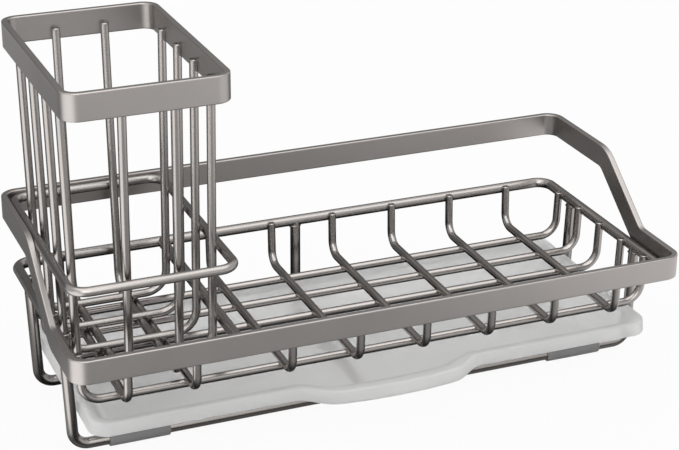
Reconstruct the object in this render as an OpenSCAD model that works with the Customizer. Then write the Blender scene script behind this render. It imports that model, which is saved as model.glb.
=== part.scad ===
// Sink caddy: a welded wire basket in a flat steel band, a lift-out brush
// holder and a slide-out drip tray. Millimetres, X along the length, +Y to
// the rear, Z up from the surface that the caddy stands on.

/* [Top band] */
// Length of the caddy over the band
band_l = 300; // [280:1:320]
// Depth of the caddy over the band
band_d = 132; // [128:1:140]
// Height of the flat strip
band_h = 11.4; // [9:0.1:13]
// Thickness of the flat strip
band_t = 3; // [2:0.1:4]
// Outer radius of the band's corners, seen from above
band_r = 8.5; // [6:0.5:12]
// Height of the band's top edge at the front
band_front_z = 63.2; // [62:0.1:66]
// Height of the band's top edge at the rear
band_rear_z = 92.2; // [90:0.1:96]
// Where the side slope meets the low front level, from mid depth
slope_front_y = -29; // [-34:0.5:-24]
// Where the side slope meets the high rear level, from mid depth
slope_rear_y = 8; // [4:0.5:14]
// Inside radius of the strip's edgewise bends
slope_bend_r = 7; // [4:0.5:10]

/* [Welded rods] */
// Diameter of the rim, divider, leg and strut rods
rod_d = 5.2; // [4.8:0.1:5.2]
// Height of the rim rod's centre line
rim_z = 54; // [53:0.1:55]
// Centre line of the rim rod at the rear, from mid depth
rim_rear_y = 63.3; // [61:0.1:63.4]
// Bend radius of the rim rod's corners
rim_bend_r = 7.5; // [6:0.5:12]
// Distance between the legs at the rim
leg_span = 288.6; // [288:0.1:288.6]
// Inward lean of the legs, in degrees
leg_lean = 2; // [1.5:0.1:2.2]
// Bend radius of the legs
leg_bend_r = 7.5; // [6:0.5:10]
// Front legs, from mid depth
leg_front_y = -30; // [-31:0.5:-28]
// Rear legs, from mid depth
leg_rear_y = 34; // [32:0.5:36]
// Middle strut, from mid length
strut_x = 0.5; // [-4:0.5:8]
// Diameter of the brush holder's guide ring
guide_d = 4.4; // [4:0.1:5]
// Height of the guide ring's centre line
guide_z = 89.3; // [87:0.1:89.9]
// Front rod of the guide ring, from mid depth
guide_front_y = -53; // [-55:0.5:-52.5]
// Right rod of the guide ring, from mid length
guide_right_x = -70.4; // [-70.5:0.1:-69]
// Bend radius of the guide ring
guide_bend_r = 8; // [6:0.5:10]
// Divider rod, from mid length
divider_x = -70.6; // [-70.7:0.1:-69]

/* [Foot sleeves] */
// Outer diameter of a sleeve
sleeve_d = 7; // [6.8:0.1:7]
// Length of a sleeve
sleeve_l = 28.8; // [20:0.2:34]
// Centre of a sleeve, from mid length
sleeve_x = 111.9; // [105:0.1:114]

/* [Basket wires] */
// Diameter of the basket and holder wires
wire_d = 4; // [3.8:0.1:4]
// Depth by which a crossing wire sinks into the other at its weld
weld_sink = 1.6; // [1.5:0.1:1.7]
// Height of the floor of long wires, centre line
basket_z = 32.2; // [32:0.1:32.3]
// Height at which the wires end, beside the rim rod
wire_top_z = 56; // [55:0.1:56.4]
// Distance between the two upright ends of a long wire
long_wire_span = 282.8; // [282.6:0.1:283]
// Number of long wires
long_wires = 5; // [4:1:5]
// Spacing of the long wires
long_pitch = 21.65; // [21.6:0.05:21.7]
// Middle long wire, from mid depth
long_mid_y = -0.4; // [-0.5:0.1:-0.3]
// Rear ends of the short wires, from mid depth
short_rear_y = 60.2; // [60:0.1:60.4]
// Front ends of the short wires, from mid depth
short_front_y = -57.3; // [-57.5:0.1:-57.1]
// Number of short wires right of the brush holder
short_wires = 6; // [4:1:6]
// Spacing of the short wires right of the brush holder
short_pitch = 33.15; // [32:0.05:33.2]
// First short wire right of the brush holder
short_first_x = -46.75; // [-50:0.05:-46]
// Distance between the two short wires below the brush holder
short_pair = 31.5; // [31.3:0.1:32.5]
// Inward lean of the basket's upright ends, in degrees
basket_lean = 2; // [1:0.1:2.2]
// Bend radius of the long wires
long_bend_r = 9; // [8:0.5:11]
// Bend radius of the short wires
short_bend_r = 7; // [6:0.5:10]

/* [Brush holder] */
// Centre of the brush holder, from mid length
holder_x = -107.5; // [-107.6:0.05:-107.4]
// Width of the holder's band
holder_w = 74.7; // [74.4:0.1:75]
// Front face of the holder's band, from mid depth
holder_front_y = -53.6; // [-53.8:0.1:-53.4]
// Rear face of the holder's band, from mid depth
holder_rear_y = 63; // [62.8:0.1:63.2]
// Height of the holder's top edge
holder_top_z = 178.5; // [170:0.5:190]
// Height of the holder's strip
holder_band_h = 12.6; // [10:0.1:14]
// Outer radius of the holder band's corners
holder_r = 8; // [7:0.5:9]
// Distance from the holder's top edge down to the wires' ends
holder_wire_drop = 6.9; // [5:0.1:8]
// Distance between the upper ends of a cross wire
cross_span = 67; // [66.8:0.1:67.1]
// Inward lean of the cross wires, in degrees
cross_lean = 0.9; // [0.8:0.1:1]
// Rearmost cross wire, from mid depth
cross_rear_y = 39.2; // [39:0.1:39.3]
// Number of cross wires
cross_wires = 4; // [3:1:4]
// Spacing of the cross wires
cross_pitch = 23.6; // [23.5:0.1:23.7]
// Rear upper ends of the lengthwise wires, from mid depth
run_rear_y = 58.9; // [58.8:0.1:59]
// Front upper ends of the lengthwise wires, from mid depth
run_front_y = -50.1; // [-50.3:0.1:-50]
// Inward lean of the lengthwise wires, in degrees
run_lean = 2.3; // [2.3:0.1:2.6]
// Distance between the two lengthwise wires
run_pair = 23.2; // [23:0.1:23.3]
// Height of the lengthwise wires at the bottom, centre line
holder_z = 36.6; // [36.6:0.1:37]
// Bend radius of the holder wires
holder_bend_r = 11; // [9:0.5:12]

/* [Drip tray] */
// Width of the tray
tray_w = 280; // [270:0.2:280]
// Front of the tray's rim, from mid depth
tray_front_y = -56.4; // [-58:0.2:-55]
// Rear of the tray's rim, from mid depth
tray_rear_y = 58; // [54:0.5:59]
// Height of the tray's rim
tray_top_z = 26; // [25.5:0.1:27]
// Height of the skirt below the rim
tray_skirt_h = 6.6; // [5:0.1:8]
// Wall thickness of the tray
tray_t = 1.5; // [1.2:0.1:2]
// Width of the flat rim
tray_rim_w = 7; // [4:0.5:8.5]
// Outer radius of the rim's corners
tray_r = 9; // [8:0.5:12]
// Height of the underside of the tray's floor
tray_floor_z = 7.1; // [7.1:0.1:8]
// Half width of the tray's floor
tray_floor_x = 124.5; // [118:0.5:126]
// Front of the tray's floor, from mid depth
tray_floor_front = -33; // [-34:0.5:-30]
// Rear of the tray's floor, from mid depth
tray_floor_rear = 47; // [44:0.5:50]
// Corner radius of the tray's floor
tray_floor_r = 14; // [10:1:18]
// How far the pull spout stands out from the rim
spout_out = 12.6; // [10:0.2:13]
// Width of the pull spout where it leaves the rim
spout_root_w = 92; // [80:1:100]
// Width of the pull spout between its corner centres
spout_tip_w = 54; // [44:1:60]
// Corner radius of the pull spout
spout_r = 9.5; // [7:0.5:11]

/* [Hidden] */
$fn = 96;
// Steps in each bend of the band's side view
arc_steps = 12;
// Angle by which a bend laps each straight, and how much thicker it is there
lap = 1;
bend_swell = 0.01;
// Weld bite where a rod lies along the strip
bite = 0.02;
steel = [0.47, 0.44, 0.42];
wire_steel = [0.55, 0.52, 0.50];
silicone = [0.45, 0.45, 0.44];
frosted = [0.84, 0.85, 0.86, 0.75];
inner_x = band_l / 2 - band_t;
inner_y = band_d / 2 - band_t;
rim_x = inner_x - rod_d / 2 + bite;
rim_front_y = -inner_y + rod_d / 2 - bite;
foot_z = 3.3;
cross_drop = wire_d - weld_sink;
short_z = basket_z + cross_drop;
cross_z = holder_z + cross_drop;
holder_wire_top = holder_top_z - holder_wire_drop;
short_y = (short_rear_y + short_front_y) / 2;
short_span = short_rear_y - short_front_y;
run_y = (run_rear_y + run_front_y) / 2;
run_span = run_rear_y - run_front_y;
long_wire_y = [for (i = [0:4]) long_mid_y + (2 - i) * long_pitch];
short_wire_x = concat([holder_x - short_pair / 2, holder_x + short_pair / 2],
    [for (i = [0:5]) short_first_x + i * short_pitch]);
cross_wire_y = [for (i = [0:3]) cross_rear_y - i * cross_pitch];
run_wire_x = [holder_x - run_pair / 2, holder_x + run_pair / 2];
// The spout stands past the band, so mid depth of the band lies behind the origin
mid_y = -(tray_front_y - spout_out + band_d / 2) / 2;

// Straight round bar along X
module bar_x(x0, x1, y, z, d) {
    translate([x0, y, z]) rotate([0, 90, 0]) cylinder(d = d, h = x1 - x0);
}

// Straight round bar along Y
module bar_y(y0, y1, x, z, d) {
    translate([x, y0, z]) rotate([-90, 0, 0]) cylinder(d = d, h = y1 - y0);
}

// Bent stretch of a round bar, in the XY plane, from angle 0
module elbow(r, d, a) {
    rotate_extrude(angle = a) translate([r, 0]) circle(d = d);
}

// Wire bent to a U in the XZ plane, its two ends leaning in toward the run.
// A bend is a hair thicker than the wire and laps both straights, as pressed.
module u_wire(span, top_z, run_z, lean, d, r) {
    bend_z = run_z + r;
    leg = (top_z - bend_z + r * sin(lean)) / cos(lean);
    bend_x = span / 2 - r * cos(lean) - leg * sin(lean);
    bar_x(-bend_x, bend_x, 0, run_z, d);
    for (side = [0, 1]) mirror([side, 0, 0]) translate([bend_x, 0, bend_z]) {
        rotate([90, 0, 0]) rotate([0, 0, -90 - lap])
            elbow(r, d + 2 * bend_swell, 90 - lean + 2 * lap);
        rotate([0, lean, 0]) translate([r, 0, 0]) cylinder(d = d, h = leg);
    }
}

// The same wire turned to run along Y
module u_wire_y(span, top_z, run_z, lean, d, r) {
    rotate([0, 0, 90]) u_wire(span, top_z, run_z, lean, d, r);
}

// Closed rectangular ring of round rod, given by its centre lines
module rod_ring(x0, x1, y0, y1, z, d, r) {
    for (y = [y0, y1]) bar_x(x0 + r, x1 - r, y, z, d);
    for (x = [x0, x1]) bar_y(y0 + r, y1 - r, x, z, d);
    corners = [[x1 - r, y1 - r], [x0 + r, y1 - r], [x0 + r, y0 + r], [x1 - r, y0 + r]];
    for (i = [0:3]) translate([corners[i][0], corners[i][1], z])
        rotate([0, 0, 90 * i]) elbow(r, d, 90);
}

// Rectangle with round corners, centred
module round_rect(w, d, r) {
    square([w - 2 * r, d], center = true);
    square([w, d - 2 * r], center = true);
    for (x = [-1, 1], y = [-1, 1])
        translate([x * (w / 2 - r), y * (d / 2 - r)]) circle(r = r);
}

// Plan of a band: a round-cornered rectangle with its inside removed
module band_plan(w, d, t, r) {
    difference() {
        round_rect(w, d, r);
        round_rect(w - 2 * t, d - 2 * t, r - t);
    }
}

// Points on an arc about c, from angle a0 to a1
function arc(c, r, a0, a1) = [for (i = [0:arc_steps])
    c + r * [cos(a0 + (a1 - a0) * i / arc_steps), sin(a0 + (a1 - a0) * i / arc_steps)]];

// Side view of the band: low at the front, high at the rear, one even strip
module band_side() {
    slope = atan((band_rear_z - band_front_z) / (slope_rear_y - slope_front_y));
    r = slope_bend_r;
    shift = band_h * tan(slope / 2);
    reach = r * tan(slope / 2);
    top_c = [slope_rear_y + shift + reach, band_rear_z - band_h - r];
    low_c = [slope_front_y - reach, band_front_z + r];
    polygon(concat([[-band_d, band_front_z]], arc(low_c, r, 270, 270 + slope),
        arc(top_c, r + band_h, 90 + slope, 90), [[band_d, band_rear_z]],
        [[band_d, band_rear_z - band_h]], arc(top_c, r, 90, 90 + slope),
        arc(low_c, r + band_h, 270 + slope, 270), [[-band_d, band_front_z - band_h]]));
}

// The rim rod's straight stretches, long enough to shape the ends welded to them
module rim_sides() {
    for (x = [-rim_x, rim_x]) bar_y(-inner_y, inner_y, x, rim_z, rod_d);
}
module rim_front_rear() {
    for (y = [rim_front_y, rim_rear_y]) bar_x(-inner_x, inner_x, y, rim_z, rod_d);
}

module top_band() color(steel) translate([0, mid_y, 0]) intersection() {
    linear_extrude(band_rear_z + 1) band_plan(band_l, band_d, band_t, band_r);
    translate([-band_l, 0, 0]) rotate([90, 0, 90])
        linear_extrude(2 * band_l) band_side();
}

module rim_ring() color(steel) translate([0, mid_y, 0])
    rod_ring(-rim_x, rim_x, rim_front_y, rim_rear_y, rim_z, rod_d, rim_bend_r);

module divider_rod() color(steel) translate([0, mid_y, 0]) difference() {
    bar_y(rim_front_y, rim_rear_y, divider_x, rim_z, rod_d);
    rim_front_rear();
}

module holder_guide_ring() color(steel) translate([0, mid_y, 0])
    rod_ring(guide_d / 2 - bite - inner_x, guide_right_x, guide_front_y,
        inner_y - guide_d / 2 + bite, guide_z, guide_d, guide_bend_r);

module foot_loop(y) color(steel) translate([0, mid_y, 0]) difference() {
    translate([0, y, 0])
        u_wire(leg_span, rim_z, foot_z, leg_lean, rod_d, leg_bend_r);
    rim_sides();
}

module front_foot_loop() foot_loop(leg_front_y);
module rear_foot_loop() foot_loop(leg_rear_y);

// Third rear leg: from under the rim down and forward to the rear foot loop
module rear_strut() color(steel) translate([strut_x, mid_y, 0]) difference() {
    union() {
        translate([0, rim_rear_y, foot_z + leg_bend_r])
            cylinder(d = rod_d, h = rim_z - foot_z - leg_bend_r);
        translate([0, rim_rear_y - leg_bend_r, foot_z + leg_bend_r])
            rotate([90, 0, 90]) rotate([0, 0, -90]) elbow(leg_bend_r, rod_d, 90);
        bar_y(leg_rear_y, rim_rear_y - leg_bend_r, 0, foot_z, rod_d);
    }
    bar_x(-rod_d, rod_d, rim_rear_y, rim_z, rod_d);
    bar_x(-rod_d, rod_d, leg_rear_y, foot_z, rod_d);
}

// Floor rod that ties the two foot loops together
module base_strut() color(steel) translate([strut_x, mid_y, 0]) difference() {
    bar_y(leg_front_y, leg_rear_y, 0, foot_z, rod_d);
    for (y = [leg_front_y, leg_rear_y]) bar_x(-rod_d, rod_d, y, foot_z, rod_d);
}

// Soft sleeve pushed on a foot rod, flat where the caddy stands on it
module foot_sleeve(side, y) color(silicone) translate([0, mid_y, 0]) {
    x0 = side * sleeve_x - sleeve_l / 2;
    difference() {
        bar_x(x0, x0 + sleeve_l, y, foot_z, sleeve_d);
        bar_x(x0 - 1, x0 + sleeve_l + 1, y, foot_z, rod_d);
        translate([x0 - 1, y - sleeve_d, -sleeve_d])
            cube([sleeve_l + 2, 2 * sleeve_d, sleeve_d]);
    }
}

module foot_sleeve_front_left() foot_sleeve(-1, leg_front_y);
module foot_sleeve_front_right() foot_sleeve(1, leg_front_y);
module foot_sleeve_rear_left() foot_sleeve(-1, leg_rear_y);
module foot_sleeve_rear_right() foot_sleeve(1, leg_rear_y);

// Long basket wire: seats for the short wires are pressed into its run
module long_wire(i) color(wire_steel) translate([0, mid_y, 0]) difference() {
    translate([0, long_wire_y[i], 0])
        u_wire(long_wire_span, wire_top_z, basket_z, basket_lean, wire_d, long_bend_r);
    rim_sides();
    for (x = short_wire_x)
        bar_y(long_wire_y[i] - wire_d, long_wire_y[i] + wire_d, x, short_z, wire_d);
}

// Short basket wire, on top of the long ones
module short_wire(i) color(wire_steel) translate([0, mid_y, 0]) difference() {
    translate([short_wire_x[i], short_y, 0])
        u_wire_y(short_span, wire_top_z, short_z, basket_lean, wire_d, short_bend_r);
    rim_front_rear();
}

module cross_wire(i) translate([holder_x, cross_wire_y[i], 0])
    u_wire(cross_span, holder_wire_top, cross_z, cross_lean, wire_d, holder_bend_r);

module run_wire(i) translate([run_wire_x[i], run_y, 0])
    u_wire_y(run_span, holder_wire_top, holder_z, run_lean, wire_d, holder_bend_r);

// Holder band, grooved inside where the wires are welded in
module holder_band() color(steel) translate([0, mid_y, 0]) difference() {
    translate([holder_x, (holder_front_y + holder_rear_y) / 2, holder_top_z - holder_band_h])
        linear_extrude(holder_band_h)
            band_plan(holder_w, holder_rear_y - holder_front_y, band_t, holder_r);
    for (i = [0:3]) cross_wire(i);
    for (i = [0:1]) run_wire(i);
}

// Cross wire of the holder: seats for the lengthwise wires below it
module holder_cross_wire(i) color(wire_steel) translate([0, mid_y, 0]) difference() {
    cross_wire(i);
    for (x = run_wire_x)
        bar_y(cross_wire_y[i] - wire_d, cross_wire_y[i] + wire_d, x, holder_z, wire_d);
}

module holder_run_wire(i) color(wire_steel) translate([0, mid_y, 0]) run_wire(i);

// Outline of the tray's rim with its pull spout, drawn in by an inset
module tray_plan(inset) {
    tray_spout_plan(inset);
    tray_main_plan(inset);
}
module tray_main_plan(inset) {
    translate([0, (tray_front_y + tray_rear_y) / 2])
        round_rect(tray_w - 2 * inset, tray_rear_y - tray_front_y - 2 * inset, tray_r - inset);
}
module tray_spout_plan(inset) {
    root = spout_root_w - 2 * inset;
    hull() {
        for (x = [-spout_tip_w / 2, spout_tip_w / 2])
            translate([x, tray_front_y - spout_out + spout_r]) circle(r = spout_r - inset);
        translate([-root / 2, tray_front_y + inset]) square([root, 1]);
    }
}

// Basin of the tray, drawn in by the wall thickness for its inside
module tray_basin(t) {
    floor_w = 2 * (tray_floor_x - t);
    floor_d = tray_floor_rear - tray_floor_front - 2 * t;
    hull() {
        translate([0, 0, tray_top_z]) linear_extrude(0.01)
            tray_main_plan(tray_rim_w - tray_t + t);
        translate([0, (tray_floor_rear + tray_floor_front) / 2, tray_floor_z + t])
            linear_extrude(0.01) round_rect(floor_w, floor_d, tray_floor_r - t);
    }
    hull() {
        translate([0, 0, tray_top_z]) linear_extrude(0.01)
            tray_spout_plan(tray_rim_w - tray_t + t);
        translate([-spout_tip_w / 2, tray_floor_front + t, tray_floor_z + t])
            cube([spout_tip_w, 1, 0.01]);
    }
}

module drip_tray() color(frosted) translate([0, mid_y, 0]) difference() {
    union() {
        difference() {
            translate([0, 0, tray_top_z - tray_skirt_h])
                linear_extrude(tray_skirt_h) tray_plan(0);
            translate([0, 0, tray_top_z - tray_skirt_h - 1])
                linear_extrude(tray_skirt_h + 1 - tray_t) tray_plan(tray_t);
        }
        intersection() {
            tray_basin(0);
            translate([-band_l, -band_l, 0]) cube([2 * band_l, 2 * band_l, tray_top_z]);
        }
    }
    tray_basin(tray_t);
}

top_band();
rim_ring();
divider_rod();
holder_guide_ring();
front_foot_loop();
rear_foot_loop();
rear_strut();
base_strut();
foot_sleeve_front_left();
foot_sleeve_front_right();
foot_sleeve_rear_left();
foot_sleeve_rear_right();
long_wire(0);  // long_wire_1
long_wire(1);  // long_wire_2
long_wire(2);  // long_wire_3
long_wire(3);  // long_wire_4
long_wire(4);  // long_wire_5
short_wire(0);  // short_wire_1
short_wire(1);  // short_wire_2
short_wire(2);  // short_wire_3
short_wire(3);  // short_wire_4
short_wire(4);  // short_wire_5
short_wire(5);  // short_wire_6
short_wire(6);  // short_wire_7
short_wire(7);  // short_wire_8
drip_tray();
holder_band();
holder_cross_wire(0);  // holder_cross_wire_1
holder_cross_wire(1);  // holder_cross_wire_2
holder_cross_wire(2);  // holder_cross_wire_3
holder_cross_wire(3);  // holder_cross_wire_4
holder_run_wire(0);  // holder_run_wire_1
holder_run_wire(1);  // holder_run_wire_2
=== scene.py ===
import math

import bpy
import numpy as np
from mathutils import Matrix, Vector


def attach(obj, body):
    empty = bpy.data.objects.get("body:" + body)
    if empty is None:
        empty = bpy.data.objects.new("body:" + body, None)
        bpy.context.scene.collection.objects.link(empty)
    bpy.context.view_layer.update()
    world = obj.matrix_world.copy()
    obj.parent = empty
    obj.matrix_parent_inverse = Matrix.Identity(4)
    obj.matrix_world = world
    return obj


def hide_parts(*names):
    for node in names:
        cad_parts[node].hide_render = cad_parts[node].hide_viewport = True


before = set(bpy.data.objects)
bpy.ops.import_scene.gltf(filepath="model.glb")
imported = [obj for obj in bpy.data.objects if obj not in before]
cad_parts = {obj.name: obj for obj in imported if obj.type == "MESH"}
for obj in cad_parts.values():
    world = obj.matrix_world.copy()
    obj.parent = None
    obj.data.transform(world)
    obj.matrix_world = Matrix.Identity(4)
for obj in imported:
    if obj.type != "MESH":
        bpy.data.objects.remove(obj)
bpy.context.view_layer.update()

# Sizes in millimetres and leans in degrees, as in the CAD source
MID_Y = 1.5
BAND_L, BAND_D, BAND_H, BAND_T, BAND_R = 300.0, 132.0, 11.4, 3.0, 8.5
BAND_FRONT_Z, BAND_REAR_Z = 63.2, 92.2
SLOPE_FRONT_Y, SLOPE_REAR_Y, SLOPE_BEND_R = -29.0, 8.0, 7.0
ROD_R, GUIDE_R, WIRE_R = 2.6, 2.2, 2.0
BITE = 0.02
RIM_Z, RIM_REAR_Y, RIM_BEND_R = 54.0, 63.3, 7.5
LEG_SPAN, LEG_LEAN, LEG_BEND_R = 288.6, 2.0, 7.5
LEG_FRONT_Y, LEG_REAR_Y, FOOT_Z = -30.0, 34.0, 3.3
STRUT_X, DIVIDER_X = 0.5, -70.6
GUIDE_Z, GUIDE_FRONT_Y, GUIDE_RIGHT_X, GUIDE_BEND_R = 89.3, -53.0, -70.4, 8.0
SLEEVE_R, SLEEVE_L, SLEEVE_X = 3.5, 28.8, 111.9
SET_DOWN = 2.4
BASKET_Z, WIRE_TOP_Z, BASKET_LEAN = 32.2, 56.0, 2.0
LONG_BEND_R, SHORT_BEND_R = 9.0, 7.0
LONG_SPAN, LONG_PITCH, LONG_MID_Y = 282.8, 21.65, -0.4
SHORT_REAR_Y, SHORT_FRONT_Y = 60.2, -57.3
SHORT_PITCH, SHORT_FIRST_X, SHORT_PAIR = 33.15, -46.75, 31.5
HOLDER_X, HOLDER_W, HOLDER_FRONT_Y, HOLDER_REAR_Y = -107.5, 74.7, -53.6, 63.0
HOLDER_TOP_Z, HOLDER_BAND_H, HOLDER_R = 178.5, 12.6, 8.0
HOLDER_WIRE_TOP, HOLDER_Z, HOLDER_BEND_R = 171.6, 36.6, 11.0
CROSS_SPAN, CROSS_LEAN, CROSS_REAR_Y, CROSS_PITCH = 67.0, 0.9, 39.2, 23.6
RUN_REAR_Y, RUN_FRONT_Y, RUN_LEAN, RUN_PAIR = 58.9, -50.1, 2.3, 23.2
TRAY_W, TRAY_FRONT_Y, TRAY_REAR_Y, TRAY_R = 280.0, -56.4, 58.0, 9.0
TRAY_TOP_Z, TRAY_SKIRT_Z, TRAY_T = 26.0, 19.4, 1.5
TRAY_FLOOR_Z, TRAY_FLOOR_X, TRAY_FLOOR_R = 7.1, 124.5, 14.0
TRAY_FLOOR_FRONT, TRAY_FLOOR_REAR = -33.0, 47.0

INNER_X, INNER_Y = BAND_L / 2 - BAND_T, BAND_D / 2 - BAND_T
RIM_X = INNER_X - ROD_R + BITE
RIM_FRONT_Y = -INNER_Y + ROD_R - BITE
GUIDE_LEFT_X, GUIDE_REAR_Y = GUIDE_R - BITE - INNER_X, INNER_Y - GUIDE_R + BITE
SHORT_Z = BASKET_Z + SET_DOWN
CROSS_Z = HOLDER_Z + SET_DOWN
LONG_Y = [LONG_MID_Y + (2 - i) * LONG_PITCH for i in range(5)]
SHORT_X = [HOLDER_X - SHORT_PAIR / 2, HOLDER_X + SHORT_PAIR / 2]
SHORT_X += [SHORT_FIRST_X + i * SHORT_PITCH for i in range(6)]
CROSS_Y = [CROSS_REAR_Y - i * CROSS_PITCH for i in range(4)]
RUN_X = [HOLDER_X - RUN_PAIR / 2, HOLDER_X + RUN_PAIR / 2]
AXIS_X, AXIS_Y, AXIS_Z = (1.0, 0.0, 0.0), (0.0, 1.0, 0.0), (0.0, 0.0, 1.0)

# Details that only the scene has, or has in a finer form, in millimetres
BAR_SIDES, BAR_CHAMFER, BEND_STEPS = 24, 0.4, 12
STRIP_EDGE, STRIP_SUPPORT, STRIP_EDGE_STEPS = 0.55, 0.18, 4
BEAD_ROWS, BEAD_COLS, BEAD_UNEVEN = 7, 12, 0.08
LEG_BEAD, STRUT_BEAD, LEG_BEAD_DROP = (2.7, 3.3, 1.3), (3.3, 2.7, 1.3), 0.2
CROSSING_BEAD, LONG_END_BEAD, SHORT_END_BEAD = (2.35, 2.35, 0.95), (1.0, 2.5, 1.9), (2.5, 1.0, 1.9)
LEG_SEED, STRUT_SEED, CROSSING_SEED = 10, 21, 100
LONG_END_SEED, SHORT_END_SEED, HOLDER_SEED = 200, 300, 400
SLEEVE_SIDES, SLEEVE_EDGE, SLEEVE_CROWN = 32, 0.5, 0.05
TRAY_DRAFT, TRAY_ROLL, TRAY_WALL_STEPS = 0.4, 0.9, 18
TRAY_FOOT = ((1.5, 0.35), (1.2, 0.05), (0.75, 0.0), (0.3, 0.05), (0.05, 0.35), (0.0, 0.9))
WALL_TOP_IN, WALL_TOP_DROP, WALL_UNDER_IN, WALL_UNDER_DROP = 1.9, 0.01, 2.6, 0.1
SKIRT_INNER = ((1.85, 2.1), (1.6, 3.2))
SPOUT_X, SPOUT_SOFT, SPOUT_DRAW_IN = 1.3, 1.0, 0.414
SPOUT_EDGE = ((0.0, 12.4), (14.0, 11.9), (27.5, 10.5), (31.5, 9.5), (34.5, 7.9), (38.2, 4.9),
              (42.0, 1.8), (44.5, 0.4), (46.0, 0.0), (60.0, 0.0))

# Light, with places and sizes in metres: each softbox's place, target, size and watts
WORLD_FILL = 0.9
SOFTBOXES = (("top_softbox", (0.05, -0.35, 1.5), (0.05, -0.1, 0.05), (2.2, 1.7), 20.0),
             ("front_softbox", (-0.45, -1.7, 1.05), (0, 0, 0.1), (1.6, 1.4), 17.0),
             ("left_softbox", (-1.3, -0.65, 0.38), (0, 0, 0.06), (0.7, 0.7), 1.5))
FLOOR_Z, FLOOR_HALF, FLOOR_SEEN = -0.0002, 6.0, 0.94

# The reflection cards' extents in metres and their tones, which paint shade and highlights
# into the metal's reflections; each fade has two ends, which for LEFT_IN and LEFT_OUT
# are bearings in radians
CARD_Z, CARD_HALF, CARD_FADE = -0.0001, 2.0, (1.1, 1.9)
# UNDER_* paint the caddy's shadow into the reflections; FOOT_* lift that painted shadow along the foot
# bars
UNDER_X, UNDER_Y, UNDER_MID_Y, UNDER_LEVEL = (0.14, 0.17), (0.07, 0.17), 0.03, (0.03, 1.0)
FOOT_MID_Y, FOOT_OUT, FOOT_FADE, FOOT_LEVEL = 0.0035, 0.036, (0.003, 0.009), (0.35, 0.0)
FRONT_FADE, FRONT_TONE = (-0.7, -0.15), (0.9, 0.6)
REAR_FADE, REAR_SHARE = (-0.04, 0.10), (1.0, 0.36)
FAR_FADE, FAR_TONE = (0.1, 0.8), (0.0, 0.35)
LEFT_AT, LEFT_IN, LEFT_OUT, LEFT_TONE = (-0.145, -0.045), (0.25, 0.7), (1.65, 2.15), 1.7
RIGHT_FADE, RIGHT_TONE = (0.03, 0.26), (0.0, 0.8)
BEHIND_Y, BEHIND_X, BEHIND_TOP, BEHIND_FADE, BEHIND_LEVEL = 1.0, (-1.6, 1.2), 1.1, (0.6, 1.1), 0.2
MIDDLE_HALF, MIDDLE_TOP, MIDDLE_LEVEL = 0.13, 0.028, 0.85


def unit(v):
    return v / np.linalg.norm(v, axis=-1, keepdims=True)


# Mesh making
def make_piece(name, verts, faces, material):
    """A mesh object from millimetre points in the CAD's own layout."""
    verts = np.asarray(verts, float) + np.array([0.0, MID_Y, 0.0])
    mesh = bpy.data.meshes.new(name)
    mesh.from_pydata([tuple(v) for v in verts * 0.001], [], faces)
    mesh.materials.append(material)
    mesh.polygons.foreach_set("use_smooth", [True] * len(mesh.polygons))
    mesh.update()
    piece = bpy.data.objects.new(name, mesh)
    bpy.context.scene.collection.objects.link(piece)
    return piece


def settle(piece, node, body):
    """The piece stands for a CAD node, which it hides, and moves with its body."""
    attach(piece, body)
    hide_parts(node)


class Parts:
    """Collects several closed surfaces into one mesh."""

    def __init__(self):
        self.verts, self.faces = [], []

    def add(self, verts, faces):
        base = len(self.verts)
        self.verts.extend([tuple(v) for v in verts])
        self.faces.extend([tuple(base + i for i in f) for f in faces])


def grid_faces(rows, cols, closed_rows):
    """Quads between successive loops of points; each loop is closed."""
    faces = []
    for i in range(rows if closed_rows else rows - 1):
        j = (i + 1) % rows
        for k in range(cols):
            m = (k + 1) % cols
            faces.append((i * cols + k, i * cols + m, j * cols + m, j * cols + k))
    return faces


def tangents(path, closed):
    if closed:
        step = np.roll(path, -1, 0) - path
        return unit(unit(step) + unit(np.roll(step, 1, 0)))
    step = unit(np.diff(path, axis=0))
    joined = np.vstack([step[:1], step[:-1] + step[1:], step[-1:]])
    return unit(joined)


def round_bar(path, radius, plane, closed=False):
    """A round bar along a flat path whose normal is plane; open ends are chamfered."""
    path = np.asarray(path, float)
    radii = np.full(len(path), radius)
    if not closed:
        t0, t1 = unit(path[1] - path[0]), unit(path[-2] - path[-1])
        steps = np.array([0.0, 0.3, 1.0, 1.3, 2.2]) * BAR_CHAMFER
        ends = np.array([1.0, 0.45, 0.0, 0.0, 0.0]) * BAR_CHAMFER
        head = path[0] + np.outer(steps, t0)
        tail = (path[-1] + np.outer(steps, t1))[::-1]
        path = np.vstack([head, path[1:-1], tail])
        radii = np.concatenate([radius - ends, radii[1:-1], radius - ends[::-1]])
    t = tangents(path, closed)
    b = np.asarray(plane, float)
    n = unit(np.cross(b, t))
    angle = np.arange(BAR_SIDES) * 2 * math.pi / BAR_SIDES
    ring = np.cos(angle)[None, :, None] * n[:, None, :]
    ring = ring + np.sin(angle)[None, :, None] * b[None, None, :]
    verts = (path[:, None, :] + radii[:, None, None] * ring).reshape(-1, 3)
    faces = grid_faces(len(path), BAR_SIDES, closed)
    if not closed:
        last = (len(path) - 1) * BAR_SIDES
        faces.append(tuple(range(BAR_SIDES)))
        faces.append(tuple(last + k for k in reversed(range(BAR_SIDES))))
    return verts, faces


def arc_points(cx, cy, r, a0, a1, steps):
    a = np.radians(np.linspace(a0, a1, steps + 1))
    return np.stack([cx + r * np.cos(a), cy + r * np.sin(a)], 1)


def rounded_loop(x0, x1, y0, y1, r):
    """Points round a rectangle with round corners, counter-clockwise from the right side."""
    corners = [(x1 - r, y1 - r, 0), (x0 + r, y1 - r, 90),
               (x0 + r, y0 + r, 180), (x1 - r, y0 + r, 270)]
    return np.vstack([arc_points(cx, cy, r, a, a + 90, BEND_STEPS) for cx, cy, a in corners])


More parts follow.
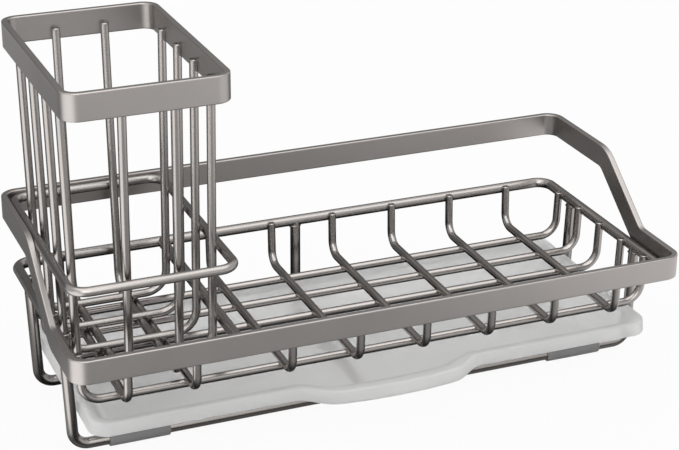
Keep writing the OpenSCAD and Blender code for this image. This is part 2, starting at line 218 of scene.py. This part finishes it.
def bent_u(span, top_z, run_z, lean, r):
    """Across and height of a U-bent wire's centre line, from its left end to its right end."""
    a = math.radians(lean)
    bend_z = run_z + r
    leg = (top_z - bend_z + r * math.sin(a)) / math.cos(a)
    bend_x = span / 2 - r * math.cos(a) - leg * math.sin(a)
    right = arc_points(bend_x, bend_z, r, -90, -lean, BEND_STEPS)
    top = right[-1] + leg * np.array([math.sin(a), math.cos(a)])
    right = np.vstack([right, top])
    left = right[::-1] * np.array([-1, 1])
    return np.vstack([left, right])


def wire_along_x(y, mid_x, profile):
    return np.stack([mid_x + profile[:, 0], np.full(len(profile), y), profile[:, 1]], 1)


def wire_along_y(x, mid_y, profile):
    return np.stack([np.full(len(profile), x), mid_y + profile[:, 0], profile[:, 1]], 1)


def bead(centre, size, seed):
    """A small uneven weld bead."""
    rng = np.random.default_rng(seed)
    rows, cols = BEAD_ROWS, BEAD_COLS
    lump = rng.uniform(-BEAD_UNEVEN, BEAD_UNEVEN, (3, 2))
    verts = []
    for i in range(1, rows):
        lat = math.pi * i / rows - math.pi / 2
        for k in range(cols):
            lon = 2 * math.pi * k / cols
            flat = math.cos(lat)
            p = np.array([flat * math.cos(lon), flat * math.sin(lon), math.sin(lat)])
            wave = 1 + sum(rise * math.sin((j + 2) * lon + 6 * turn)
                           for j, (rise, turn) in enumerate(lump))
            verts.append(np.asarray(centre) + p * np.asarray(size) * wave)
    faces = grid_faces(rows - 1, cols, False)
    base = len(verts)
    verts.append(np.asarray(centre) - np.array([0, 0, size[2]]))
    verts.append(np.asarray(centre) + np.array([0, 0, size[2]]))
    last = (rows - 2) * cols
    for k in range(cols):
        m = (k + 1) % cols
        faces.append((m, k, base))
        faces.append((last + k, last + m, base + 1))
    return verts, faces


def flat_section(t, h):
    """Section of the strip, as (outward, up) points with rounded edges and close support lines."""
    edge, pts = STRIP_EDGE, []
    corners = [(1, 1, 0), (-1, 1, 90), (-1, -1, 180), (1, -1, 270)]
    for sx, sy, a in corners:
        cx, cy = sx * (t / 2 - edge), sy * (h / 2 - edge)
        arc = arc_points(cx, cy, edge, a, a + 90, STRIP_EDGE_STEPS)
        enter, leave = math.radians(a), math.radians(a + 90)
        first = arc[0] - STRIP_SUPPORT * np.array([-math.sin(enter), math.cos(enter)])
        last = arc[-1] + STRIP_SUPPORT * np.array([-math.sin(leave), math.cos(leave)])
        pts.append(np.vstack([first, arc, last]))
    return np.vstack(pts)


def strip(centres, outward, up, section):
    """A closed band: the section carried round stations, each with its outward and up directions."""
    verts = centres[:, None, :] + section[None, :, 0, None] * outward[:, None, :]
    verts = verts + section[None, :, 1, None] * up[:, None, :]
    return verts.reshape(-1, 3), grid_faces(len(centres), len(section), True)


def band_side_line():
    """Centre line of the sloping side, front to rear: its (y, z) points and the slope at each."""
    slope = math.degrees(math.atan((BAND_REAR_Z - BAND_FRONT_Z) / (SLOPE_REAR_Y - SLOPE_FRONT_Y)))
    r = SLOPE_BEND_R
    shift = BAND_H * math.tan(math.radians(slope / 2))
    reach = r * math.tan(math.radians(slope / 2))
    top_c = (SLOPE_REAR_Y + shift + reach, BAND_REAR_Z - BAND_H - r)
    low_c = (SLOPE_FRONT_Y - reach, BAND_FRONT_Z + r)
    mid_r = r + BAND_H / 2
    low = arc_points(*low_c, mid_r, 270, 270 + slope, BEND_STEPS)
    high = arc_points(*top_c, mid_r, 90 + slope, 90, BEND_STEPS)
    turn = np.linspace(0, slope, BEND_STEPS + 1)
    return np.vstack([low, high]), np.concatenate([turn, turn[::-1]])


def top_band_stations():
    """The band's centre line from the front right corner round, with outward and up directions."""
    mid_x, mid_y, r = (BAND_L - BAND_T) / 2, (BAND_D - BAND_T) / 2, BAND_R - BAND_T / 2
    front_z, rear_z = BAND_FRONT_Z - BAND_H / 2, BAND_REAR_Z - BAND_H / 2
    line, slope = band_side_line()
    centres, outward, up = [], [], []

    def corner(cx, cy, start, z):
        for a in np.radians(np.linspace(start, start + 90, BEND_STEPS + 1)):
            n = np.array([math.cos(a), math.sin(a), 0.0])
            centres.append(np.array([cx, cy, z]) + r * n)
            outward.append(n)
            up.append(np.array(AXIS_Z))

    def side(sx):
        order = range(len(line)) if sx > 0 else reversed(range(len(line)))
        for i in order:
            a = math.radians(slope[i])
            centres.append(np.array([sx * mid_x, line[i][0], line[i][1]]))
            outward.append(np.array([sx, 0.0, 0.0]))
            up.append(np.array([0.0, -math.sin(a), math.cos(a)]))

    corner(mid_x - r, -mid_y + r, 270, front_z)
    side(1)
    corner(mid_x - r, mid_y - r, 0, rear_z)
    corner(-mid_x + r, mid_y - r, 90, rear_z)
    side(-1)
    corner(-mid_x + r, -mid_y + r, 180, front_z)
    return np.array(centres), np.array(outward), np.array(up)


def level_stations(x0, x1, y0, y1, r, z):
    """The same for a level band with round corners."""
    loop = rounded_loop(x0, x1, y0, y1, r)
    step = tangents(loop, True)
    outward = np.stack([step[:, 1], -step[:, 0], np.zeros(len(loop))], 1)
    centres = np.column_stack([loop, np.full(len(loop), z)])
    up = np.tile(np.array(AXIS_Z), (len(loop), 1))
    return centres, outward, up


# Materials
def node_tree(name):
    material = bpy.data.materials.new(name)
    material.use_nodes = True
    tree = material.node_tree
    shader = next(n for n in tree.nodes if n.type == "BSDF_PRINCIPLED")
    return material, tree, shader


def noise(tree, scale, detail):
    coords = tree.nodes.new("ShaderNodeTexCoord")
    tex = tree.nodes.new("ShaderNodeTexNoise")
    tex.inputs["Scale"].default_value = scale
    tex.inputs["Detail"].default_value = detail
    tree.links.new(coords.outputs["Object"], tex.inputs["Vector"])
    return tex.outputs["Fac"]


def ramp(tree, source, stops):
    """A colour ramp between two stops, each a position and a colour."""
    node = tree.nodes.new("ShaderNodeValToRGB")
    for stop, (at, colour) in zip(node.color_ramp.elements, stops):
        stop.position = at
        stop.color = (*colour, 1.0)
    tree.links.new(source, node.inputs["Fac"])
    return node.outputs["Color"]


def spread(tree, source, low, high):
    node = tree.nodes.new("ShaderNodeMapRange")
    node.inputs["To Min"].default_value = low
    node.inputs["To Max"].default_value = high
    tree.links.new(source, node.inputs["Value"])
    return node.outputs["Result"]


def bump(tree, shader, source, strength, distance):
    node = tree.nodes.new("ShaderNodeBump")
    node.inputs["Strength"].default_value = strength
    node.inputs["Distance"].default_value = distance
    tree.links.new(source, node.inputs["Height"])
    tree.links.new(node.outputs["Normal"], shader.inputs["Normal"])


def gunmetal(name, dark, light, rough):
    """Satin gunmetal: a faint cloud of colour and a fine grain in the gloss."""
    material, tree, shader = node_tree(name)
    shader.inputs["Metallic"].default_value = 1.0
    cloud = noise(tree, 34.0, 4.0)
    grain = noise(tree, 2600.0, 2.0)
    tree.links.new(ramp(tree, cloud, [(0.3, dark), (0.7, light)]), shader.inputs["Base Color"])
    tree.links.new(spread(tree, grain, rough - 0.025, rough + 0.025), shader.inputs["Roughness"])
    bump(tree, shader, grain, 0.02, 0.00002)
    return material


BAND_METAL = gunmetal("band_gunmetal", (0.31, 0.29, 0.278), (0.33, 0.308, 0.295), 0.36)
ROD_METAL = gunmetal("rod_gunmetal", (0.29, 0.272, 0.26), (0.31, 0.29, 0.278), 0.26)
WIRE_METAL = gunmetal("wire_gunmetal", (0.29, 0.272, 0.26), (0.31, 0.29, 0.278), 0.25)


def sleeve_rubber():
    material, tree, shader = node_tree("sleeve_grey_rubber")
    grain = noise(tree, 900.0, 3.0)
    cloud = noise(tree, 60.0, 3.0)
    tree.links.new(ramp(tree, cloud, [(0.35, (0.25, 0.25, 0.25)), (0.65, (0.28, 0.28, 0.28))]),
                   shader.inputs["Base Color"])
    tree.links.new(spread(tree, grain, 0.62, 0.78), shader.inputs["Roughness"])
    bump(tree, shader, grain, 0.2, 0.0001)
    return material


def tray_plastic():
    material, tree, shader = node_tree("tray_frosted_plastic")
    grain = noise(tree, 700.0, 4.0)
    cloud = noise(tree, 22.0, 3.0)
    tree.links.new(ramp(tree, cloud, [(0.3, (0.89, 0.89, 0.885)), (0.7, (0.91, 0.91, 0.905))]),
                   shader.inputs["Base Color"])
    tree.links.new(spread(tree, grain, 0.42, 0.50), shader.inputs["Roughness"])
    shader.inputs["Transmission Weight"].default_value = 0.4
    shader.inputs["Subsurface Weight"].default_value = 1.0
    shader.inputs["Subsurface Radius"].default_value = (1.0, 1.0, 1.0)
    shader.inputs["Subsurface Scale"].default_value = 0.01
    shader.inputs["IOR"].default_value = 1.08
    bump(tree, shader, grain, 0.1, 0.0001)
    return material


SLEEVE = sleeve_rubber()
TRAY = tray_plastic()

# Flat bands
section = flat_section(BAND_T, BAND_H)
piece = make_piece("top_band_strip", *strip(*top_band_stations(), section), BAND_METAL)
settle(piece, "top_band", "frame")

half = BAND_T / 2
section = flat_section(BAND_T, HOLDER_BAND_H)
stations = level_stations(
    HOLDER_X - HOLDER_W / 2 + half, HOLDER_X + HOLDER_W / 2 - half,
    HOLDER_FRONT_Y + half, HOLDER_REAR_Y - half, HOLDER_R - half, HOLDER_TOP_Z - HOLDER_BAND_H / 2)
piece = make_piece("holder_band_strip", *strip(*stations, section), BAND_METAL)
settle(piece, "holder_band", "brush_holder")


# Rods
def rod_ring(node, x0, x1, y0, y1, z, rod, r):
    loop = rounded_loop(x0, x1, y0, y1, r)
    path = np.column_stack([loop, np.full(len(loop), z)])
    verts, faces = round_bar(path, rod, AXIS_Z, closed=True)
    piece = make_piece(node + "_rod", verts, faces, ROD_METAL)
    settle(piece, node, "frame")


rod_ring("rim_ring", -RIM_X, RIM_X, RIM_FRONT_Y, RIM_REAR_Y, RIM_Z, ROD_R, RIM_BEND_R)
rod_ring("holder_guide_ring", GUIDE_LEFT_X, GUIDE_RIGHT_X, GUIDE_FRONT_Y, GUIDE_REAR_Y,
         GUIDE_Z, GUIDE_R, GUIDE_BEND_R)


def straight_rod(node, x, front_y, rear_y, z):
    path = np.linspace((x, front_y, z), (x, rear_y, z), 9)
    piece = make_piece(node + "_rod", *round_bar(path, ROD_R, AXIS_X), ROD_METAL)
    settle(piece, node, "frame")


straight_rod("divider_rod", DIVIDER_X, RIM_FRONT_Y, RIM_REAR_Y, RIM_Z)
straight_rod("base_strut", STRUT_X, LEG_FRONT_Y, LEG_REAR_Y, FOOT_Z)


def settle_parts(name, parts, metal, node, body):
    settle(make_piece(name, parts.verts, parts.faces, metal), node, body)


leg_bead_z = RIM_Z - ROD_R - LEG_BEAD_DROP
for node, y in (("front_foot_loop", LEG_FRONT_Y), ("rear_foot_loop", LEG_REAR_Y)):
    profile = bent_u(LEG_SPAN, RIM_Z, FOOT_Z, LEG_LEAN, LEG_BEND_R)
    parts = Parts()
    parts.add(*round_bar(wire_along_x(y, 0.0, profile), ROD_R, AXIS_Y))
    for i, side in enumerate((-1, 1)):
        parts.add(*bead((side * LEG_SPAN / 2, y, leg_bead_z), LEG_BEAD, LEG_SEED + i))
    settle_parts(node + "_rod", parts, ROD_METAL, node, "frame")

strut = arc_points(-RIM_REAR_Y + LEG_BEND_R, FOOT_Z + LEG_BEND_R, LEG_BEND_R, 180, 270, BEND_STEPS)
strut = np.vstack([[-RIM_REAR_Y, RIM_Z], strut, [-LEG_REAR_Y, FOOT_Z]])
path = np.stack([np.full(len(strut), STRUT_X), -strut[:, 0], strut[:, 1]], 1)
parts = Parts()
parts.add(*round_bar(path, ROD_R, AXIS_X))
parts.add(*bead((STRUT_X, RIM_REAR_Y, leg_bead_z), STRUT_BEAD, STRUT_SEED))
settle_parts("rear_strut_rod", parts, ROD_METAL, "rear_strut", "frame")

# Basket wires
profile = bent_u(LONG_SPAN, WIRE_TOP_Z, BASKET_Z, BASKET_LEAN, LONG_BEND_R)
for i, y in enumerate(LONG_Y):
    parts = Parts()
    parts.add(*round_bar(wire_along_x(y, 0.0, profile), WIRE_R, AXIS_Y))
    for k, x in enumerate(SHORT_X):
        weld = (x, y, (BASKET_Z + SHORT_Z) / 2)
        parts.add(*bead(weld, CROSSING_BEAD, CROSSING_SEED + 10 * i + k))
    for k, side in enumerate((-1, 1)):
        weld = (side * (LONG_SPAN / 2 + RIM_X) / 2, y, RIM_Z)
        parts.add(*bead(weld, LONG_END_BEAD, LONG_END_SEED + 10 * i + k))
    node = f"long_wire_{i + 1}"
    settle_parts(node + "_bent", parts, WIRE_METAL, node, "frame")

short_y = (SHORT_REAR_Y + SHORT_FRONT_Y) / 2
profile = bent_u(SHORT_REAR_Y - SHORT_FRONT_Y, WIRE_TOP_Z, SHORT_Z, BASKET_LEAN, SHORT_BEND_R)
for i, x in enumerate(SHORT_X):
    parts = Parts()
    parts.add(*round_bar(wire_along_y(x, short_y, profile), WIRE_R, AXIS_X))
    for k, (wire, rod) in enumerate(((SHORT_FRONT_Y, RIM_FRONT_Y), (SHORT_REAR_Y, RIM_REAR_Y))):
        weld = (x, (wire + rod) / 2, RIM_Z)
        parts.add(*bead(weld, SHORT_END_BEAD, SHORT_END_SEED + 10 * i + k))
    node = f"short_wire_{i + 1}"
    settle_parts(node + "_bent", parts, WIRE_METAL, node, "frame")

# Brush holder wires
profile = bent_u(CROSS_SPAN, HOLDER_WIRE_TOP, CROSS_Z, CROSS_LEAN, HOLDER_BEND_R)
for i, y in enumerate(CROSS_Y):
    parts = Parts()
    parts.add(*round_bar(wire_along_x(y, HOLDER_X, profile), WIRE_R, AXIS_Y))
    for k, x in enumerate(RUN_X):
        weld = (x, y, (CROSS_Z + HOLDER_Z) / 2)
        parts.add(*bead(weld, CROSSING_BEAD, HOLDER_SEED + 10 * i + k))
    node = f"holder_cross_wire_{i + 1}"
    settle_parts(node + "_bent", parts, WIRE_METAL, node, "brush_holder")

run_y = (RUN_REAR_Y + RUN_FRONT_Y) / 2
profile = bent_u(RUN_REAR_Y - RUN_FRONT_Y, HOLDER_WIRE_TOP, HOLDER_Z, RUN_LEAN, HOLDER_BEND_R)
for i, x in enumerate(RUN_X):
    node = f"holder_run_wire_{i + 1}"
    verts, faces = round_bar(wire_along_y(x, run_y, profile), WIRE_R, AXIS_X)
    piece = make_piece(node + "_bent", verts, faces, WIRE_METAL)
    settle(piece, node, "brush_holder")


# Foot sleeves
def sleeve(node, side, y):
    """A rubber tube with softened ends, flattened where it carries the load."""
    half_l, edge = SLEEVE_L / 2, SLEEVE_EDGE
    left = [(-half_l, ROD_R), (-half_l, SLEEVE_R - edge), (-half_l + 0.3 * edge, SLEEVE_R - 0.3 * edge),
            (-half_l + edge, SLEEVE_R), (-half_l + 2 * edge, SLEEVE_R)]
    profile = left + [(0.0, SLEEVE_R + SLEEVE_CROWN)] + [(-a, r) for a, r in reversed(left)]
    verts = []
    for along, r in profile:
        for k in range(SLEEVE_SIDES):
            a = 2 * math.pi * k / SLEEVE_SIDES
            z = max(FOOT_Z + r * math.sin(a), 0.0)
            verts.append((side * SLEEVE_X + along, y + r * math.cos(a), z))
    faces = grid_faces(len(profile), SLEEVE_SIDES, True)
    settle(make_piece(node + "_tube", verts, faces, SLEEVE), node, "frame")


for end, y in (("front", LEG_FRONT_Y), ("rear", LEG_REAR_Y)):
    for hand, side in (("left", -1), ("right", 1)):
        sleeve(f"foot_sleeve_{end}_{hand}", side, y)


# Drip tray
def spout_reach(x, inset):
    """How far the front edge stands out at x, for an outline drawn in by inset."""
    at, out = np.array(SPOUT_EDGE).T
    near = np.abs(x - SPOUT_X)[:, None] + SPOUT_DRAW_IN * inset
    spread_x = near + np.linspace(-SPOUT_SOFT, SPOUT_SOFT, 9)
    return np.interp(np.abs(spread_x), at, out).mean(axis=1)


def tray_loop(half_w, front, rear, r, reach, z):
    """One level of the tray: the front run, then round the other three sides."""
    side_t = np.linspace(-1, -0.4, 12)[:-1]
    t = np.concatenate([side_t, np.linspace(-0.4, 0.4, 97), np.linspace(0.4, 1, 12)[1:]])
    cx, low, high = half_w - r, front + r, rear - r
    x = t * cx
    side_y, rear_x = np.linspace(low, high, 14)[1:-1], np.linspace(cx, -cx, 34)[1:-1]
    run = [np.stack([x, front - reach(x)], 1)]
    run.append(arc_points(cx, low, r, 270, 360, BEND_STEPS)[1:])
    run.append(np.stack([np.full(len(side_y), half_w), side_y], 1))
    run.append(arc_points(cx, high, r, 0, 90, BEND_STEPS))
    run.append(np.stack([rear_x, np.full(len(rear_x), rear)], 1))
    run.append(arc_points(-cx, high, r, 90, 180, BEND_STEPS))
    run.append(np.stack([np.full(len(side_y), -half_w), side_y[::-1]], 1))
    run.append(arc_points(-cx, low, r, 180, 270, BEND_STEPS)[:-1])
    loop = np.vstack(run)
    return np.column_stack([loop, np.full(len(loop), z)])


def rim_loop(inset, z):
    """The tray's outer outline, drawn in by inset, at height z."""
    return tray_loop(TRAY_W / 2 - inset, TRAY_FRONT_Y + inset, TRAY_REAR_Y - inset, TRAY_R - inset,
                     lambda x: spout_reach(x, inset), z)


def floor_loop(inset, z):
    """The outline of the basin's floor, drawn in by inset, at height z."""
    return tray_loop(TRAY_FLOOR_X - inset, TRAY_FLOOR_FRONT + inset, TRAY_FLOOR_REAR - inset,
                     TRAY_FLOOR_R - inset, np.zeros_like, z)


def basin_wall(start, end):
    """Loops down a smooth S-shaped wall between two matching loops."""
    wall = []
    for s in np.linspace(0, 1, TRAY_WALL_STEPS + 1):
        loop = start + (end - start) * s
        loop[:, 2] = start[0, 2] + (end[0, 2] - start[0, 2]) * s * s * (3 - 2 * s)
        wall.append(loop)
    return wall


# The skirt's rounded foot, its outer face, the rolled lip, then the basin seen from above
top_z, skirt_z, draft, roll = TRAY_TOP_Z, TRAY_SKIRT_Z, TRAY_DRAFT, TRAY_ROLL
face_z = skirt_z + TRAY_FOOT[-1][1]
loops = [rim_loop(inset, skirt_z + up) for inset, up in TRAY_FOOT]
loops += [rim_loop(draft * s, face_z + s * (top_z - roll - face_z)) for s in (0.33, 0.66)]
for a in np.radians(np.linspace(0, 90, 9)):
    loops.append(rim_loop(draft + roll * (1 - math.cos(a)), top_z - roll + roll * math.sin(a)))
floor_top = TRAY_FLOOR_Z + TRAY_T
loops += basin_wall(rim_loop(WALL_TOP_IN, top_z - WALL_TOP_DROP), floor_loop(TRAY_T, floor_top))
loops += [floor_loop(TRAY_T + 3, floor_top), floor_loop(TRAY_T + 9, floor_top)]
count_top = len(loops)

# The basin's underside, then up under the lip and down the skirt's inner face
loops += [floor_loop(9.0, TRAY_FLOOR_Z), floor_loop(3.0, TRAY_FLOOR_Z)]
under_lip = rim_loop(WALL_UNDER_IN, top_z - TRAY_T - WALL_UNDER_DROP)
loops += basin_wall(under_lip, floor_loop(0.0, TRAY_FLOOR_Z))[::-1]
loops += [rim_loop(inset, top_z - down) for inset, down in SKIRT_INNER]
cols = len(loops[0])
faces = grid_faces(len(loops), cols, True)
inner = (count_top - 1) * cols
faces = faces[:inner] + faces[inner + cols:]
faces.append(tuple(inner + k for k in range(cols)))
faces.append(tuple(inner + cols + k for k in reversed(range(cols))))
piece = make_piece("drip_tray_shell", np.vstack(loops), faces, TRAY)
settle(piece, "drip_tray", "drip_tray")
# The wires' dark undersides reflect the floor card's painted shadow, not the pale tray
piece.visible_glossy = False


# Floor, backdrop and light
def seen_rays(tree, share):
    """Light Path's camera, glossy and transmission rays together, times a share."""
    rays = tree.nodes.new("ShaderNodeLightPath")
    total = rays.outputs["Is Camera Ray"]
    for kind in ("Is Glossy Ray", "Is Transmission Ray"):
        either = tree.nodes.new("ShaderNodeMath")
        either.operation = "MAXIMUM"
        tree.links.new(total, either.inputs[0])
        tree.links.new(rays.outputs[kind], either.inputs[1])
        total = either.outputs[0]
    scaled = tree.nodes.new("ShaderNodeMath")
    scaled.operation = "MULTIPLY"
    scaled.inputs[1].default_value = share
    tree.links.new(total, scaled.inputs[0])
    return scaled.outputs[0]


def sheet(name, corners, material):
    """One flat stage piece with four corners."""
    mesh = bpy.data.meshes.new(name)
    mesh.from_pydata(corners, [], [(0, 1, 2, 3)])
    mesh.materials.append(material)
    piece = bpy.data.objects.new(name, mesh)
    bpy.context.scene.collection.objects.link(piece)
    return piece


def level_square(half, z):
    return [(-half, -half, z), (half, -half, z), (half, half, z), (-half, half, z)]


def mix_shaders(tree, share, first, second, kind):
    """Puts a mix of two shaders on the output node of the kind named."""
    mix = tree.nodes.new("ShaderNodeMixShader")
    tree.links.new(share, mix.inputs["Fac"])
    tree.links.new(first, mix.inputs[1])
    tree.links.new(second, mix.inputs[2])
    output = next(n for n in tree.nodes if n.type == kind)
    tree.links.new(mix.outputs[0], output.inputs["Surface"])


material, tree, shader = node_tree("studio_floor_white")
shader.inputs["Base Color"].default_value = (0.8, 0.8, 0.8, 1)
shader.inputs["Roughness"].default_value = 0.9
shader.inputs["Specular IOR Level"].default_value = 0.0
glow = tree.nodes.new("ShaderNodeEmission")
glow.inputs["Color"].default_value = (1, 1, 1, 1)
glow.inputs["Strength"].default_value = 1.0
mix_shaders(tree, seen_rays(tree, FLOOR_SEEN), shader.outputs["BSDF"], glow.outputs["Emission"],
            "OUTPUT_MATERIAL")
sheet("studio_floor", level_square(FLOOR_HALF, FLOOR_Z), material)

world = bpy.data.worlds.new("studio_world")
bpy.context.scene.world = world
world.use_nodes = True
tree = world.node_tree
background = next(n for n in tree.nodes if n.type == "BACKGROUND")
white = tree.nodes.new("ShaderNodeBackground")
white.inputs["Color"].default_value = (1, 1, 1, 1)
white.inputs["Strength"].default_value = 1.0
background.inputs["Color"].default_value = (1, 1, 1, 1)
background.inputs["Strength"].default_value = WORLD_FILL
mix_shaders(tree, seen_rays(tree, 1.0), background.outputs[0], white.outputs[0], "OUTPUT_WORLD")


# Studio cards that only reflections meet, painting shade and reflections into the metal
def flag_material(name):
    """A plain glow that can fade out to clear; also gives the card's own coordinates."""
    material = bpy.data.materials.new(name)
    material.use_nodes = True
    tree = material.node_tree
    tree.nodes.clear()
    output = tree.nodes.new("ShaderNodeOutputMaterial")
    glow = tree.nodes.new("ShaderNodeEmission")
    clear = tree.nodes.new("ShaderNodeBsdfTransparent")
    mix = tree.nodes.new("ShaderNodeMixShader")
    tree.links.new(clear.outputs[0], mix.inputs[1])
    tree.links.new(glow.outputs[0], mix.inputs[2])
    tree.links.new(mix.outputs[0], output.inputs["Surface"])
    material.cycles.emission_sampling = "NONE"
    coords = tree.nodes.new("ShaderNodeTexCoord")
    return material, tree, glow, mix, coords.outputs["Object"]


def measure(tree, operation, source, vector):
    node = tree.nodes.new("ShaderNodeVectorMath")
    node.operation = operation
    node.inputs[1].default_value = vector
    tree.links.new(source, node.inputs[0])
    return node


def fade(tree, source, at, to):
    """Smooth step of a value from to[0] at at[0] to to[1] at at[1]."""
    node = tree.nodes.new("ShaderNodeMapRange")
    node.interpolation_type = "SMOOTHSTEP"
    node.inputs["From Min"].default_value, node.inputs["From Max"].default_value = at
    node.inputs["To Min"].default_value, node.inputs["To Max"].default_value = to
    tree.links.new(source, node.inputs["Value"])
    return node.outputs["Result"]


def number(tree, operation, first, second=0.0):
    """A Math node's result; each input is a plain number or a socket."""
    node = tree.nodes.new("ShaderNodeMath")
    node.operation = operation
    for socket, value in zip(node.inputs, (first, second)):
        if isinstance(value, float):
            socket.default_value = value
        else:
            tree.links.new(value, socket)
    return node.outputs[0]


def flag(name, corners, material):
    """A card that only reflections meet."""
    piece = sheet(name, corners, material)
    piece.visible_camera = piece.visible_diffuse = piece.visible_transmission = False
    piece.visible_shadow = piece.visible_volume_scatter = False


# On the floor: a painted shadow under the caddy and painted reflection tones round it
material, tree, glow, mix, place = flag_material("flag_under")
across = measure(tree, "DOT_PRODUCT", place, AXIS_X).outputs["Value"]
along = measure(tree, "DOT_PRODUCT", place, AXIS_Y).outputs["Value"]
beside = number(tree, "ABSOLUTE", across)
beyond = number(tree, "ABSOLUTE", number(tree, "SUBTRACT", along, UNDER_MID_Y))
# near: the painted shadow under the caddy, lifted along the foot bars
near = number(tree, "MAXIMUM", fade(tree, beside, UNDER_X, UNDER_LEVEL),
              fade(tree, beyond, UNDER_Y, UNDER_LEVEL))
foot = number(tree, "ABSOLUTE", number(tree, "SUBTRACT", along, FOOT_MID_Y))
foot = number(tree, "ABSOLUTE", number(tree, "SUBTRACT", foot, FOOT_OUT))
near = number(tree, "MAXIMUM", near, fade(tree, foot, FOOT_FADE, FOOT_LEVEL))
front = fade(tree, along, FRONT_FADE, FRONT_TONE)
rear = fade(tree, along, REAR_FADE, REAR_SHARE)
far = fade(tree, along, FAR_FADE, FAR_TONE)
tone = number(tree, "ADD", number(tree, "MULTIPLY", front, rear), far)
# A bright lobe to the left front: a painted highlight for the metal
bearing = number(tree, "ARCTAN2", number(tree, "SUBTRACT", LEFT_AT[0], across),
                 number(tree, "SUBTRACT", LEFT_AT[1], along))
lobe = number(tree, "MULTIPLY", fade(tree, bearing, LEFT_IN, (0.0, 1.0)),
              fade(tree, bearing, LEFT_OUT, (1.0, 0.0)))
tone = number(tree, "ADD", tone, number(tree, "MULTIPLY", lobe, LEFT_TONE))
# Brighter to the right: painted highlights for the metal
right = number(tree, "MULTIPLY", fade(tree, across, RIGHT_FADE, RIGHT_TONE),
               fade(tree, along, REAR_FADE, (1.0, 0.0)))
# The painted shadow under the caddy dims every tone
tone = number(tree, "MULTIPLY", near, number(tree, "ADD", tone, right))
tree.links.new(tone, glow.inputs["Strength"])
reach = measure(tree, "LENGTH", place, (0, 0, 0))
tree.links.new(fade(tree, reach.outputs["Value"], CARD_FADE, (1.0, 0.0)), mix.inputs["Fac"])
flag("flag_under", level_square(CARD_HALF, CARD_Z), material)


def upright(x0, x1, y, top):
    return [(x0, y, 0), (x1, y, 0), (x1, y, top), (x0, y, top)]


# Behind: a dim card, painted shade on the rods' top edges, that fades out upwards
material, tree, glow, mix, place = flag_material("flag_behind")
glow.inputs["Strength"].default_value = BEHIND_LEVEL
height = measure(tree, "DOT_PRODUCT", place, AXIS_Z)
tree.links.new(fade(tree, height.outputs["Value"], BEHIND_FADE, (1.0, 0.0)), mix.inputs["Fac"])
flag("flag_behind", upright(*BEHIND_X, BEHIND_Y, BEHIND_TOP), material)

# Under the basket: a glowing card, a painted reflection of the pale tray in the rear uprights
material, tree, glow, mix, place = flag_material("flag_middle")
glow.inputs["Strength"].default_value = MIDDLE_LEVEL
mix.inputs["Fac"].default_value = 1.0
flag("flag_middle", upright(-MIDDLE_HALF, MIDDLE_HALF, 0.0, MIDDLE_TOP), material)


def softbox(name, place, target, size, power):
    """A lamp without diffuse light, so it shows mostly in the metal."""
    light = bpy.data.lights.new(name, "AREA")
    light.shape = "RECTANGLE"
    light.size, light.size_y = size
    light.energy = power
    lamp = bpy.data.objects.new(name, light)
    bpy.context.scene.collection.objects.link(lamp)
    lamp.location = place
    lamp.visible_camera = lamp.visible_diffuse = False
    lamp.rotation_euler = (Vector(target) - Vector(place)).to_track_quat("-Z", "Y").to_euler()


for box in SOFTBOXES:
    softbox(*box)

# Camera, as measured from the photograph's perspective
PHOTO_W, PHOTO_H, SENSOR_W = 679, 450, 36.0
FOCAL_PX, CENTRE_X, CENTRE_Y = 1865.504, 332.584, 193.74
ELEVATION, AZIMUTH, ROLL = 22.473, 22.081, 0.154
CAMERA_AT = (-0.31076, -0.753298, 0.430592)
el, az, roll = (math.radians(a) for a in (ELEVATION, AZIMUTH, ROLL))
forward = Vector((math.sin(az) * math.cos(el), math.cos(az) * math.cos(el), -math.sin(el)))
right = Vector((math.cos(az), -math.sin(az), 0.0))
upward = right.cross(forward)
right, upward = (math.cos(roll) * right + math.sin(roll) * upward,
                 math.cos(roll) * upward - math.sin(roll) * right)
data = bpy.data.cameras.new("photo_camera")
data.sensor_width = SENSOR_W
data.lens = FOCAL_PX * SENSOR_W / PHOTO_W
data.shift_x = (PHOTO_W / 2 - CENTRE_X) / PHOTO_W
data.shift_y = (CENTRE_Y - PHOTO_H / 2) / PHOTO_W
data.clip_start = 0.01
camera = bpy.data.objects.new("photo_camera", data)
bpy.context.scene.collection.objects.link(camera)
camera.matrix_world = Matrix((
    (right.x, upward.x, -forward.x, CAMERA_AT[0]),
    (right.y, upward.y, -forward.y, CAMERA_AT[1]),
    (right.z, upward.z, -forward.z, CAMERA_AT[2]),
    (0, 0, 0, 1)))
bpy.context.scene.camera = camera
bpy.context.scene.view_settings.view_transform = "Standard"
